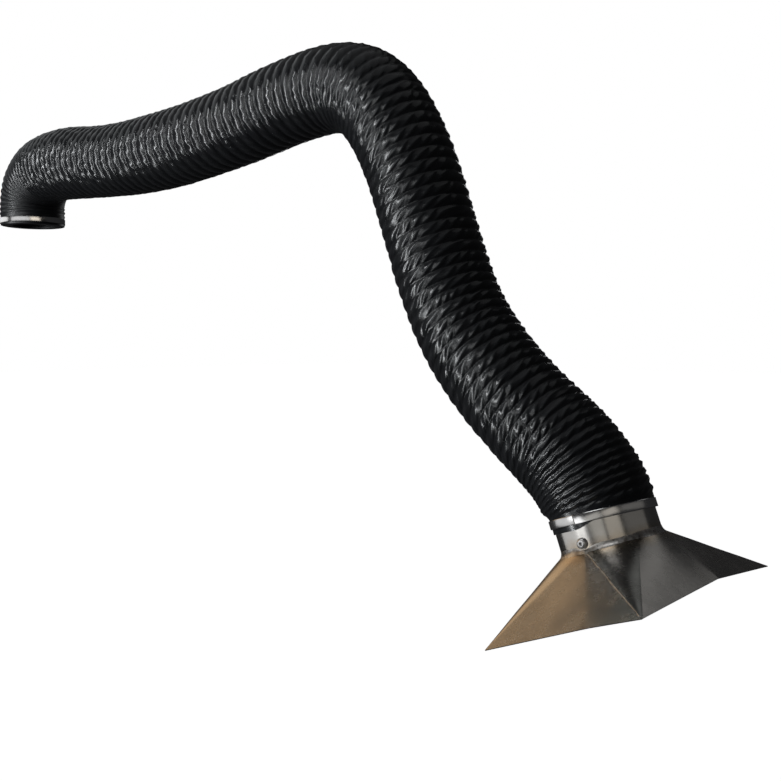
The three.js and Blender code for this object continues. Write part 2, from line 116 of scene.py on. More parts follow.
# ---------------------------------------------------------------------- camera
YAW, PITCH_CAM = math.radians(42.749), math.radians(-3.109)
right = Vector((math.cos(YAW), math.sin(YAW), 0))
fwd = Vector((-math.sin(YAW) * math.cos(PITCH_CAM), math.cos(YAW) * math.cos(PITCH_CAM), math.sin(PITCH_CAM)))
up = right.cross(fwd)
cam_data = bpy.data.cameras.new("camera")
cam_data.sensor_width = 36
cam_data.lens = 1000.0 / 781.0 * 36.0
cam_data.clip_end = 100
cam = bpy.data.objects.new("camera", cam_data)
scene.collection.objects.link(cam)
cam.matrix_world = Matrix(
    [
        [right.x, up.x, -fwd.x, 2.6102],
        [right.y, up.y, -fwd.y, -1.3712],
        [right.z, up.z, -fwd.z, -0.3024],
        [0, 0, 0, 1],
    ]
)
scene.camera = cam


# --------------------------------------------------------------- material tools
class Mat:
    """A node material with a few short helpers."""

    def __init__(self, name):
        self.m = bpy.data.materials.new(name)
        self.m.use_nodes = True
        self.t = self.m.node_tree
        self.b = self.t.nodes["Principled BSDF"]

    def node(self, kind, **values):
        n = self.t.nodes.new(kind)
        for k, v in values.items():
            if k in n.inputs:
                n.inputs[k].default_value = v
            else:
                setattr(n, k, v)
        return n

    def link(self, a, b):
        self.t.links.new(a, b)

    def set(self, **values):
        for k, v in values.items():
            self.b.inputs[k.replace("_", " ")].default_value = v

    def coords(self, attribute=None, scale=(1, 1, 1)):
        if attribute:
            src = self.node("ShaderNodeAttribute", attribute_name=attribute).outputs["Vector"]
        else:
            src = self.node("ShaderNodeTexCoord").outputs["Object"]
        mp = self.node("ShaderNodeMapping")
        mp.inputs["Scale"].default_value = scale
        self.link(src, mp.inputs["Vector"])
        return mp.outputs["Vector"]

    def noise(self, vec, scale, detail=3.0, rough=0.55, distortion=0.0):
        n = self.node("ShaderNodeTexNoise", Scale=scale, Detail=detail, Roughness=rough, Distortion=distortion)
        self.link(vec, n.inputs["Vector"])
        return n.outputs["Fac"]

    def ramp(self, fac, stops, interp="LINEAR"):
        r = self.node("ShaderNodeValToRGB")
        r.color_ramp.interpolation = interp
        e = r.color_ramp.elements
        while len(e) < len(stops):
            e.new(0.5)
        for el, (p, c) in zip(e, stops):
            el.position = p
            el.color = (*c, 1) if len(c) == 3 else c
        self.link(fac, r.inputs["Fac"])
        return r.outputs["Color"]

    def rng(self, fac, a, b, lo, hi):
        n = self.node("ShaderNodeMapRange")
        n.inputs["From Min"].default_value = a
        n.inputs["From Max"].default_value = b
        n.inputs["To Min"].default_value = lo
        n.inputs["To Max"].default_value = hi
        self.link(fac, n.inputs["Value"])
        return n.outputs["Result"]

    def mix(self, fac, a, b, kind="MIX"):
        n = self.node("ShaderNodeMix", data_type="RGBA", blend_type=kind)
        for sock, v in ((n.inputs[0], fac), (n.inputs[6], a), (n.inputs[7], b)):
            if isinstance(v, (int, float)):
                sock.default_value = v
            elif isinstance(v, tuple):
                sock.default_value = (*v, 1) if len(v) == 3 else v
            else:
                self.link(v, sock)
        return n.outputs[2]

    def math(self, op, a, b=None):
        n = self.node("ShaderNodeMath", operation=op)
        for sock, v in ((n.inputs[0], a), (n.inputs[1], b)):
            if v is None:
                continue
            if isinstance(v, (int, float)):
                sock.default_value = v
            else:
                self.link(v, sock)
        return n.outputs[0]

    def bump(self, height, strength, distance, normal=None):
        n = self.node("ShaderNodeBump", Strength=strength, Distance=distance)
        self.link(height, n.inputs["Height"])
        if normal is not None:
            self.link(normal, n.inputs["Normal"])
        return n.outputs["Normal"]


def hose_material():
    k = Mat("hose_coated_fabric")
    v = k.coords("hose_place")
    w = k.coords("hose_fold")
    read = lambda name: k.node("ShaderNodeAttribute", attribute_name=name).outputs["Fac"]
    ridge_highlight_mask = read("hose_painted_ridge_highlight")
    base = k.ramp(k.noise(v, 14, 4), [(0.3, (0.0080, 0.0085, 0.0096)), (0.7, (0.0140, 0.0147, 0.0162))])
    # ridges and wire crests get a lighter base colour: a painted highlight
    k.link(k.mix(k.rng(ridge_highlight_mask, 0.6, 1.0, 0.0, 0.5), base, (0.024, 0.025, 0.027)), k.b.inputs["Base Color"])
    k.link(k.math("ADD", k.rng(k.noise(v, 30, 3), 0.3, 0.7, 0.16, 0.28), k.math("MULTIPLY", read("hose_packed"), 0.16)), k.b.inputs["Roughness"])
    # small folds that run the way the cloth is pulled, and a fine grain
    n1 = k.bump(k.noise(w, 60, 1, 0.5, 0.4), 0.05, 0.0016)
    n2 = k.bump(k.noise(v, 900, 2, 0.5), 0.02, 0.0002, n1)
    k.link(n2, k.b.inputs["Normal"])
    return k.m


def steel_material(name, dark, light, rough, scale=1.0, tint=False, brushed=None):
    k = Mat(name)
    v = k.coords()
    big = k.noise(v, 9 * scale, 4)
    col = k.ramp(big, [(0.25, dark), (0.75, light)])
    stretch = k.coords(scale=brushed or (40, 40, 900))
    lines = k.noise(stretch, 3, 4, 0.7)
    if tint:
        sep = k.node("ShaderNodeSeparateXYZ")
        k.link(k.coords(), sep.inputs[0])
        wob = k.noise(v, 30, 3)
        dist = k.math("ABSOLUTE", k.math("ADD", k.math("SUBTRACT", sep.outputs["Z"], WELD_T * MM), k.rng(wob, 0.3, 0.7, -0.006, 0.006)))
        heat = k.rng(dist, 0.003, 0.020, 0.55, 0.0)
        straw = k.ramp(k.noise(v, 22, 3), [(0.3, (0.36, 0.24, 0.12)), (0.55, (0.46, 0.38, 0.26)), (0.8, (0.30, 0.26, 0.26))])
        col = k.mix(heat, col, straw)
    k.link(col, k.b.inputs["Base Color"])
    smudge = k.noise(v, 26 * scale, 5, 0.6)
    k.link(k.rng(k.math("ADD", k.math("MULTIPLY", smudge, 0.7), k.math("MULTIPLY", lines, 0.3)), 0.3, 0.75, rough[0], rough[1]), k.b.inputs["Roughness"])
    n1 = k.bump(lines, 0.05, 0.0004)
    n2 = k.bump(k.noise(v, 16, 2), 0.10, 0.004, n1)
    k.link(n2, k.b.inputs["Normal"])
    k.set(Metallic=1.0)
    return k.m


def weld_material():
    k = Mat("weld_bead_metal")
    v = k.coords()
    col = k.ramp(k.noise(v, 90, 4), [(0.3, (0.30, 0.27, 0.24)), (0.55, (0.60, 0.59, 0.57)), (0.8, (0.72, 0.71, 0.69))])
    k.link(col, k.b.inputs["Base Color"])
    k.link(k.rng(k.noise(v, 240, 4), 0.3, 0.7, 0.22, 0.5), k.b.inputs["Roughness"])
    k.link(k.bump(k.noise(v, 420, 4), 0.4, 0.0008), k.b.inputs["Normal"])
    k.set(Metallic=1.0)
    return k.m


def plain_material(name, a, b, rough, metallic=0.0, scale=40, bump=0.15):
    k = Mat(name)
    v = k.coords()
    k.link(k.ramp(k.noise(v, scale, 4), [(0.3, a), (0.7, b)]), k.b.inputs["Base Color"])
    k.link(k.rng(k.noise(v, scale * 3, 4), 0.3, 0.7, *rough), k.b.inputs["Roughness"])
    k.link(k.bump(k.noise(v, scale * 18, 3), bump, 0.0004), k.b.inputs["Normal"])
    k.set(Metallic=metallic)
    return k.m


M_HOSE = hose_material()
M_SHEET = steel_material("stainless_sheet", (0.40, 0.385, 0.36), (0.52, 0.505, 0.48), (0.20, 0.34), tint=True)
M_COLLAR = steel_material("stainless_collar", (0.50, 0.485, 0.46), (0.64, 0.63, 0.61), (0.14, 0.27), tint=True, brushed=(500, 500, 20))
M_BAND = steel_material("stainless_band", (0.62, 0.62, 0.62), (0.74, 0.74, 0.74), (0.16, 0.28), brushed=(60, 60, 700))
M_SCREW = steel_material("stainless_fastener", (0.60, 0.60, 0.60), (0.72, 0.72, 0.72), (0.34, 0.48), scale=3)
M_ZINC = plain_material("zinc_plate", (0.38, 0.39, 0.40), (0.52, 0.53, 0.55), (0.28, 0.45), 1.0, 60)
M_ALU = plain_material("turned_aluminium", (0.62, 0.63, 0.64), (0.74, 0.75, 0.76), (0.25, 0.4), 1.0, 50)
M_PAINT = plain_material("black_powder_coat", (0.010, 0.010, 0.011), (0.022, 0.022, 0.024), (0.42, 0.6), 0.0, 70, 0.35)
M_NYLON = plain_material("natural_nylon", (0.60, 0.57, 0.50), (0.70, 0.68, 0.62), (0.4, 0.55), 0.0, 50)
M_LINING = plain_material("friction_lining", (0.030, 0.024, 0.020), (0.065, 0.052, 0.043), (0.8, 0.95), 0.0, 120, 0.5)
M_SPRING = plain_material("spring_steel", (0.10, 0.105, 0.11), (0.17, 0.175, 0.18), (0.25, 0.42), 1.0, 90)
M_WELD = weld_material()
SLOT_MAT = {
    "black_paint": M_PAINT, "hose_black": M_HOSE, "stainless": M_SHEET, "fastener": M_SCREW, "zinc": M_ZINC,
    "cast_alu": M_ALU, "nylon": M_NYLON, "friction": M_LINING, "spring_steel": M_SPRING,
}
for sub in frame["record"]["subparts"]:
    o = node[sub["node"]]
    o.data.materials.clear()
    o.data.materials.append(SLOT_MAT[sub["material_slot"]])


# ------------------------------------------------------------------ mesh tools
def new_object(name, verts, faces, material, smooth=True, matrix=None):
    me = bpy.data.meshes.new(name)
    me.from_pydata([tuple(v) for v in verts], [], [tuple(f) for f in faces])
    me.materials.append(material)
    ob = bpy.data.objects.new(name, me)
    scene.collection.objects.link(ob)
    if matrix is not None:
        ob.matrix_world = matrix
    if smooth:
        me.polygons.foreach_set("use_smooth", np.ones(len(me.polygons), bool))
    me.update()
    return ob


def sharpen(ob, degrees):
    ob.data.set_sharp_from_angle(angle=math.radians(degrees))


def spline(points):
    """Natural cubic spline through points, sampled by arc length: returns (positions, arc length at each)."""
    p = np.array(points, float)
    t = np.concatenate([[0], np.cumsum(np.linalg.norm(np.diff(p, axis=0), axis=1))])
    n = len(t)
    h = np.diff(t)
    a = np.zeros((n, n))
    r = np.zeros((n, p.shape[1]))
    a[0, 0] = a[-1, -1] = 1
    for i in range(1, n - 1):
        a[i, i - 1], a[i, i], a[i, i + 1] = h[i - 1], 2 * (h[i - 1] + h[i]), h[i]
        r[i] = 6 * ((p[i + 1] - p[i]) / h[i] - (p[i] - p[i - 1]) / h[i - 1])
    m = np.linalg.solve(a, r)
    x = np.linspace(0, t[-1], 9001)
    i = np.clip(np.searchsorted(t, x, side="right") - 1, 0, n - 2)
    u = (x - t[i])[:, None]
    hh = h[i][:, None]
    pos = (
        p[i]
        + u * ((p[i + 1] - p[i]) / hh - hh * (2 * m[i] + m[i + 1]) / 6)
        + u**2 * m[i] / 2
        + u**3 * (m[i + 1] - m[i]) / (6 * hh)
    )
    s = np.concatenate([[0], np.cumsum(np.linalg.norm(np.diff(pos, axis=0), axis=1))])
    return pos, s


# ------------------------------------------------------------------------ hose
ends = [hood_pt(0, 0, 46), hood_pt(0, 0, 34), hood_pt(0, 0, 22), hood_pt(0, 0, 10)]
line, line_s = spline([(x, z) for x, z in ROUTE] + [(e[0], e[2]) for e in ends])
tan = np.gradient(line, line_s, axis=0)
tan /= np.linalg.norm(tan, axis=1)[:, None]
bend = np.gradient(np.unwrap(np.arctan2(tan[:, 1], tan[:, 0])), line_s)

# spacing of the wire turns along the hose: close together in the tight bend and at the hood, pulled out on the lower arm
PITCH_AT = [
    (0, 11.5), (60, 12.0), (120, 13.0), (165, 14.5), (210, 18.0), (260, 22.5), (340, 24.5), (500, 25.5), (660, 27.5), (820, 26.8),
    (980, 28.0), (1140, 27.0), (1240, 26.0), (1310, 24.0), (1370, 19.5), (1460, 18.4), (1540, 20.8), (1620, 22.2), (1780, 21.8),
    (1940, 21.3), (2060, 21.6), (2130, 19.0), (2180, 14.5), (2225, 11.0), (2280, 9.5), (2340, 9.0),
]
pitch_s = np.interp(line_s, [p[0] for p in PITCH_AT], [p[1] for p in PITCH_AT])
turn_s = np.concatenate([[0], np.cumsum(np.diff(line_s) * 2 / (pitch_s[1:] + pitch_s[:-1]))])
N_TURNS = int(turn_s[-1]) + 6


def at(s):
    p = np.stack([np.interp(s, line_s, line[:, k]) for k in (0, 1)], -1)
    d = np.stack([np.interp(s, line_s, tan[:, k]) for k in (0, 1)], -1)
    return p, d / np.linalg.norm(d, axis=-1, keepdims=True)


def where(test):
    return float(line_s[np.argmax(test(line))])


def t_of(x, z):
    return (x - PIVOT[0]) * T_AX[0] + (z - PIVOT[2]) * T_AX[2]


def smooth(x):
    x = np.clip(x, 0, 1)
    return x * x * (3 - 2 * x)


SEG = 248
PHI = np.arange(SEG) * 2 * np.pi / SEG
# rows of one turn, from one groove to the next: the cloth bulges out between them, highest at CREST
ROW_U = [0.0, 0.03, 0.08, 0.16, 0.25, 0.34, 0.43, 0.52, 0.61, 0.70, 0.79, 0.88, 0.95]
CREST = 0.52
PER = len(ROW_U)
CREASES = 20.6  # creases to a turn
SHIFT = 1.4  # creases' widths that one moves round the hose between two wires
rng = np.random.default_rng(7)
KNOTS = 22
NOISE = rng.normal(0, 1, (6, KNOTS * (N_TURNS + 8)))


def along(table, x):
    """Smooth noise along the helix, x in turns."""
    f = (x + 4) * KNOTS
    i = np.clip(np.floor(f).astype(int), 0, NOISE.shape[1] - 2)
    u = smooth(f - i)
    return NOISE[table, i] * (1 - u) + NOISE[table, i + 1] * u


def free_of_clamps(s, phi):
    p, d = at(s)
    t = t_of(p[..., 0] - HOSE_R * np.cos(phi) * d[..., 1], p[..., 1] + HOSE_R * np.cos(phi) * d[..., 0])
    near_hood = s > 1800
    top = BAND_T + BAND_H + BAND_SKEW * np.cos(phi + BAND_DIR)
    return np.where(near_hood, smooth((t - top - 0.5) / 15), smooth((s - 20) / 10))


def fold_angle(s, phi):
    """Angle round the hose that stays the same along a crease."""
    return phi - 2 * np.pi * SHIFT / (CREASES + SHIFT) * np.interp(s, line_s, turn_s)


def hose_radius(s, phi):
    """Outer radius in mm at s and phi, and how far the point stands out, 0 to 1, used as the mask of a painted
    highlight on ridges and wire crests.
    """
    q = np.interp(s, line_s, turn_s) - phi / (2 * np.pi)
    n = np.floor(q + 1e-7)
    u = np.clip(q - n, 0, 1)
    x = n + phi / (2 * np.pi)  # turns along the helix
    p = np.interp(s, line_s, pitch_s)
    full = np.interp(s, [a for a, _ in RAD_AT], [b for _, b in RAD_AT])
    room = np.clip(1 - np.interp(s, line_s, bend) * HOSE_R * np.cos(phi), 0.08, 2.0)  # stretch of this side in a bend
    tight = smooth((16.5 - p) / 4)
    rib = -(np.where(u < CREST, (CREST - u) / CREST, (u - CREST) / (1 - CREST)) ** 2.0)
    pleat = -np.cos(np.pi * u) ** 2
    deep = 0.155 * p * (1 + 0.08 * along(3, x)) * np.clip(room * p / 14, 0.3, 1)
    relief = deep * rib * (1 - tight) + 2.7 * np.clip(room * p / 12, 0.2, 1) * pleat * tight
    drift = 0.5 * along(5, x * 0.3)
    ph = CREASES * x - SHIFT * (u + 0.04 * np.sin(2 * np.pi * u)) + drift + 0.15 * along(0, x) * (1 - u) + 0.15 * along(1, x) * u
    f = 1 - (ph - np.floor(ph))
    f = np.where(f < 0.6, f / 0.6 * 0.5, 0.5 + (f - 0.6) / 0.4 * 0.5)
    ridge = (0.5 - 0.5 * np.cos(2 * np.pi * f)) ** 1.6
    size = np.clip(0.8 + (26 - p) * 0.14, 0.75, 1.35) * (1 - tight) * np.clip(room * p / 14, 0.15, 1)
    size = (size + 0.9 * tight * (s > 1800)) * np.clip(1 + 0.25 * along(2, x), 0.2, 1.8)
    size = size * np.interp(s, [130, 320, 1150, 1250, 1400, 1500], [0.12, 1, 1, 0.55, 0.55, 1])  # the bends are smoother
    span = smooth(u / 0.13) * smooth((1 - u) / 0.15)
    # finer pleats that run nearly along the wires
    fine = np.sin(2 * np.pi * 3.1 * u + 2.4 * along(1, x * 0.7) + 1.2 * along(0, x)) * np.clip(0.7 + 0.6 * along(2, x * 0.8), 0.1, 1.6)
    off = relief + size * span * (ridge - 0.5) + 0.003 * p * (1 - tight) * span * fine + 0.1 * along(4, x) * span
    free = free_of_clamps(s, phi)
    base = CUFF_R + (full - CUFF_R) * free
    # mask for the painted highlight: 1 on ridges and wire crests, where the material paints a lighter colour
    ridge_highlight_mask = np.clip(1 + (rib * (1 - tight) + pleat * tight) * 1.1 + 0.5 * span * (ridge - 0.5), 0, 1)
    return base + off * free, {"hose_painted_ridge_highlight": ridge_highlight_mask, "hose_packed": tight * (s < 600)}


def plane_cut(t):
    """s for each column of vertices where the hose meets the plane t of the hood frame, or the height t of each column."""
    lo, hi = np.full(SEG, 1700.0), np.full(SEG, line_s[-1])
    for _ in range(40):
        m = (lo + hi) / 2
        p, d = at(m)
        v = t_of(p[:, 0] - 84 * np.cos(PHI) * d[:, 1], p[:, 1] + 84 * np.cos(PHI) * d[:, 0])
        lo, hi = np.where(v > t, m, lo), np.where(v > t, hi, m)
    return (lo + hi) / 2


def hose_piece(name, cut0, cut1, nodes):
    """Outer wall with its rows along the wire helix, plain inner wall, closed at both ends. The cuts are s for each column."""
    cut0, cut1 = np.broadcast_to(cut0, SEG).astype(float), np.broadcast_to(cut1, SEG).astype(float)
    q0 = math.floor(np.interp(cut0.min(), line_s, turn_s)) - 3
    q1 = math.ceil(np.interp(cut1.max(), line_s, turn_s)) + 3
    rows = np.array([q + u for q in range(q0, q1) for u in ROW_U])
    n = len(rows)
    Q = rows[:, None] + PHI[None, :] / (2 * np.pi)
    S = np.interp(Q, turn_s, line_s)
    S = np.where(Q < 0, Q * 11.5, S)
    low, high = S <= cut0[None, :], S >= cut1[None, :]
    lo = low.sum(0) - 1
    hi = n - high.sum(0)
    S = np.clip(S, cut0[None, :], cut1[None, :])
    idx = np.clip(np.arange(n)[:, None], lo[None, :], hi[None, :]) * SEG + np.arange(SEG)[None, :]
    # faces, with the last column joined to the first one a turn further on
    i = np.arange(n - 1)
    right0 = np.concatenate([idx[:, 1:], idx[np.minimum(np.arange(n) + PER, n - 1), 0][:, None]], 1)
    A, B, C, D = idx[:-1], right0[:-1], right0[1:], idx[1:]
    K = np.broadcast_to(np.arange(SEG)[None, :], A.shape)
    keep = ~((A == D) & (B == C))
    quad = keep & (A != D) & (B != C)
    tri_r = keep & (A == D)
    tri_l = keep & (B == C) & (A != D)
    faces4 = np.stack([A[quad], B[quad], C[quad], D[quad]], -1)
    k4 = np.stack([K[quad], K[quad] + 1, K[quad] + 1, K[quad]], -1)
    faces3 = np.concatenate([np.stack([A[tri_r], B[tri_r], C[tri_r]], -1), np.stack([A[tri_l], B[tri_l], D[tri_l]], -1)])
    k3 = np.concatenate([np.stack([K[tri_r], K[tri_r] + 1, K[tri_r] + 1], -1), np.stack([K[tri_l], K[tri_l] + 1, K[tri_l]], -1)])
    used, inv = np.unique(np.concatenate([faces4.ravel(), faces3.ravel()]), return_inverse=True)
    new = np.full(n * SEG, -1)
    new[used] = np.arange(len(used))
    faces4, faces3 = new[faces4], new[faces3]
    s_v, phi_v = S.ravel()[used], np.tile(PHI, n)[used]
    R, notes = hose_radius(s_v, phi_v)
    c, d = at(s_v)
    outer = np.stack([c[:, 0] - R * np.cos(phi_v) * d[:, 1], -R * np.sin(phi_v), c[:, 1] + R * np.cos(phi_v) * d[:, 0]], -1)
    no = len(outer)
    m = max(3, int((cut1 - cut0).max() / 22))
    f = np.linspace(0, 1, m + 1)[:, None]
    Si = cut0[None, :] * (1 - f) + cut1[None, :] * f
    Pi = np.broadcast_to(PHI[None, :], Si.shape)
    free = free_of_clamps(Si, Pi)
    Ri = (CUFF_R - 1.9) + (HOSE_R - 10.5 - CUFF_R + 1.9) * free
    # at the ends the inner wall keeps close to the outer one
    c, d = at(Si)
    inner = np.stack([c[..., 0] - Ri * np.cos(Pi) * d[..., 1], -Ri * np.sin(Pi), c[..., 1] + Ri * np.cos(Pi) * d[..., 0]], -1).reshape(-1, 3)
    k = np.arange(SEG)
    k1 = (k + 1) % SEG
    r = no + np.arange(m)[:, None] * SEG
    face_in = np.stack([r + k, r + SEG + k, r + SEG + k1, r + k1], -1).reshape(-1, 4)
    row_in = np.stack([np.zeros_like(r + k) + np.arange(m)[:, None]] * 4, -1).reshape(-1, 4) + np.array([0, 1, 1, 0])
    k_in = np.tile(np.stack([k, k, k + 1, k + 1], -1), (m, 1))
    e0, e1 = new[lo * SEG + k], new[hi * SEG + k]
    i0, i1 = no + k, no + m * SEG + k
    rim0 = np.stack([e0, i0, i0[k1], e0[k1]], -1)
    rim1 = np.stack([e1, e1[k1], i1[k1], i1], -1)
    k_r0 = np.stack([k, k, k + 1, k + 1], -1)
    k_r1 = np.stack([k, k + 1, k + 1, k], -1)
    verts = np.concatenate([outer, inner]) * MM
    q4 = np.concatenate([faces4, face_in, rim0, rim1])
    loops = np.concatenate([q4.ravel(), faces3.ravel()])
    starts = np.concatenate([np.arange(len(q4)) * 4, len(q4) * 4 + np.arange(len(faces3)) * 3])
    me = bpy.data.meshes.new(name)
    me.vertices.add(len(verts))
    me.vertices.foreach_set("co", verts.astype(np.float32).ravel())
    me.loops.add(len(loops))
    me.loops.foreach_set("vertex_index", loops.astype(np.int32))
    me.polygons.add(len(starts))
    me.polygons.foreach_set("loop_start", starts.astype(np.int32))
    # a map for baking: outer wall, inner wall and rims each have their own strip
    span = np.concatenate([(s_v - cut0.min()) / (cut1.max() - cut0.min()) * 0.85, np.zeros(len(inner))])
    v_out = span[faces4]
    v_in = 0.87 + 0.08 * row_in / m
    v_r0 = np.tile([0.965, 0.975, 0.975, 0.965], (SEG, 1))
    v_r1 = np.tile([0.985, 0.985, 0.995, 0.995], (SEG, 1))
    uu = np.concatenate([k4.ravel(), k_in.ravel(), k_r0.ravel(), k_r1.ravel(), k3.ravel()]) / SEG
    vv = np.concatenate([v_out.ravel(), v_in.ravel(), v_r0.ravel(), v_r1.ravel(), span[faces3].ravel()])
    me.update(calc_edges=True)
    uv = me.uv_layers.new(name="OFBake")
    uv.data.foreach_set("uv", np.stack([uu, vv], -1).astype(np.float32).ravel())
    me.polygons.foreach_set("use_smooth", np.ones(len(starts), bool))
    lab = np.full(len(verts), -1)
    for tag, ids in enumerate((e0, e1, i0, i1)):
        lab[ids] = tag
    ev = np.zeros(len(me.edges) * 2, np.int32)
    me.edges.foreach_get("vertices", ev)
    ev = ev.reshape(-1, 2)
    sharp = me.attributes.new("sharp_edge", "BOOLEAN", "EDGE")
    sharp.data.foreach_set("value", (lab[ev[:, 0]] == lab[ev[:, 1]]) & (lab[ev[:, 0]] >= 0))
    s_all = np.concatenate([s_v, Si.ravel()])
    p_all = np.concatenate([phi_v, Pi.ravel()])
    place = np.stack([HOSE_R * np.cos(p_all), HOSE_R * np.sin(p_all), s_all], -1) * MM
    me.attributes.new("hose_place", "FLOAT_VECTOR", "POINT").data.foreach_set("vector", place.astype(np.float32).ravel())
    g_all = fold_angle(s_all, p_all)
    fold = np.stack([HOSE_R * np.cos(g_all), HOSE_R * np.sin(g_all), 0.15 * s_all], -1) * MM
    me.attributes.new("hose_fold", "FLOAT_VECTOR", "POINT").data.foreach_set("vector", fold.astype(np.float32).ravel())
    for name_, value in notes.items():
        me.attributes.new(name_, "FLOAT", "POINT").data.foreach_set("value", np.concatenate([value, np.zeros(len(inner))]).astype(np.float32))
    me.materials.append(M_HOSE)
    ob = bpy.data.objects.new(name, me)
    scene.collection.objects.link(ob)
    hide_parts(*nodes)
    return ob


S_LOWER = where(lambda p: p[:, 0] >= 300)
S_ELBOW = where(lambda p: p[:, 0] >= 1000)
S_OUTER = where(lambda p: (p[:, 0] > 1300) & (np.hypot(p[:, 0] - ELBOW[0], p[:, 1] - ELBOW[2]) >= 250))
CUT_SWIVEL, CUT_CUFF = plane_cut(400.0), plane_cut(132.0)
# the hood end comes out below its band on one side
end_deg = np.degrees(PHI)
END_OUT = 9.5 * smooth((end_deg - 64) / 31) * smooth((262 - end_deg) / 80)
CUT_END = plane_cut(BAND_T - BAND_H + 1.0 + BAND_SKEW * np.cos(PHI + BAND_DIR) - END_OUT)
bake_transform(hose_piece("hose_base_bend", 0.0, S_LOWER, ["hose_shoulder"]))
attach(hose_piece("hose_lower_run", S_LOWER, S_ELBOW, ["hose_lower"]), "lower_arm")
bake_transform(hose_piece("hose_elbow_bend", S_ELBOW, S_OUTER, ["hose_elbow"]))
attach(hose_piece("hose_outer_run", S_OUTER, CUT_SWIVEL, ["hose_outer"]), "outer_arm")
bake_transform(hose_piece("hose_twist_run", CUT_SWIVEL, CUT_CUFF, ["hose_swivel"]))
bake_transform(hose_piece("hose_hood_end", CUT_CUFF, CUT_END, ["hose_cuff"]))


# ------------------------------------------------------------------------ hood
def hood_columns():
    """Rulings of the hood sheet from the collar to the mouth, as (top, bottom). The two halves are alike."""
    a, b, zt, zb = HOOD_W / 2, HOOD_L / 2, WELD_T, WELD_T - HOOD_H
    rc = 2.5

    def top(deg):
        f = math.radians(deg)
        return np.array([COLLAR_R * math.cos(f), COLLAR_R * math.sin(f), zt])

    cols = []
    for s in (1, -1):
        corner_b, corner_d, corner_e = np.array([a, -b, zb]), np.array([a, b, zb]), np.array([-a, b, zb])
        fold = np.array([a + 8.5, 14.3, zb + 12.3])
        face = np.cross(corner_e - corner_d, top(90) - corner_d)
        face = face / np.linalg.norm(face) * np.sign(face[2])
        out = []
        # corner cone after the seam
        for i in range(25):
            f = i / 24
            g = math.radians(-90 + 90 * f)
            out.append((top(-90 + 62 * f), corner_b + np.array([-rc + rc * math.cos(g), rc + rc * math.sin(g), 0])))
        # front as far as the fold, then flat to the next corner
        start = out[-1][1]
        for i in range(1, 27):
            f = i / 26
            out.append((top(-28 + 52 * f), start + (fold - start) * f))
        end = corner_d + np.array([0, -rc, 0])
        for i in range(1, 15):
            out.append((top(24), fold + (end - fold) * i / 14))
        for i in range(1, 25):
            f = i / 24
            g = math.radians(90 * f)
            out.append((top(24 + 66 * f), corner_d + np.array([-rc + rc * math.cos(g), -rc + rc * math.sin(g), 0])))
        # side with a soft bend, up to the other half's seam
        start, end = out[-1][1], corner_e + np.array([rc, 0, 0])
        for i in range(1, 30):
            f = i / 30
            h = -math.log(math.exp(-22 * f / 0.70) + math.exp(-22 * (1 - f) / 0.30)) / 22
            out.append((top(90), start + (end - start) * f + face * 3.0 * max(h, 0.0)))
        cols += [(np.array([s * t[0], s * t[1], t[2]]), np.array([s * p[0], s * p[1], p[2]])) for t, p in out]
    return cols


def hood_shell():
    """Rectangle to round in 1.5 mm sheet: cones at the corners, folded front and back."""
    rows = 18
    cols = hood_columns()
    n = len(cols)
    f = np.linspace(0, 1, rows + 1)[None, :, None]
    T, B = np.array([c[0] for c in cols])[:, None, :], np.array([c[1] for c in cols])[:, None, :]
    P = T + (B - T) * f
    # slight waviness of thin sheet
    w = np.sin(P[..., 0] * 0.043 + P[..., 1] * 0.027 + 0.6) * np.sin(P[..., 1] * 0.035 - P[..., 0] * 0.02 + 1.9)
    P[..., 2] += w * 0.4 * np.sin(np.pi * f[..., 0]) ** 0.8
    bm = bmesh.new()
    vs = [[bm.verts.new(tuple(p * MM)) for p in col] for col in P]
    for i in range(n):
        i1 = (i + 1) % n
        for j in range(rows):
            q = [vs[i][j], vs[i][j + 1], vs[i1][j + 1], vs[i1][j]]
            if (q[0].co - q[3].co).length < 1e-7:
                q = q[:3]
            bm.faces.new(q)
    bmesh.ops.remove_doubles(bm, verts=bm.verts[:], dist=1e-6)
    bmesh.ops.recalc_face_normals(bm, faces=bm.faces[:])
    if sum(g.normal.z * g.calc_area() for g in bm.faces) < 0:
        bmesh.ops.reverse_faces(bm, faces=bm.faces[:])
    bm.normal_update()
    rim = []
    for e in bm.edges:
        if e.is_boundary:
            loop = e.link_loops[0]
            rim.append((loop.vert, loop.link_loop_next.vert))
    skin = list(bm.faces)
    under = {v: bm.verts.new(v.co - v.normal * 1.5 * MM) for v in list(bm.verts)}
    for g in skin:
        bm.faces.new([under[v] for v in reversed(g.verts)])
    for v0, v1 in rim:
        bm.faces.new([v1, v0, under[v0], under[v1]])
    me = bpy.data.meshes.new("hood_sheet")
    bm.to_mesh(me)
    bm.free()
    me.polygons.foreach_set("use_smooth", np.ones(len(me.polygons), bool))
    me.materials.append(M_SHEET)
    ob = bpy.data.objects.new("hood_sheet", me)
    scene.collection.objects.link(ob)
    ob.matrix_world = HOOD_M
    sharpen(ob, 7)
    return ob


hood = hood_shell()
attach(hood, "hood")
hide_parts("hood_shell")


def tidy(ob):
    """All faces of a closed mesh outwards."""
    bm = bmesh.new()
    bm.from_mesh(ob.data)
    bmesh.ops.remove_doubles(bm, verts=bm.verts[:], dist=1e-7)
    bmesh.ops.recalc_face_normals(bm, faces=bm.faces[:])
    bm.to_mesh(ob.data)
    bm.free()
    ob.data.polygons.foreach_set("use_smooth", np.ones(len(ob.data.polygons), bool))


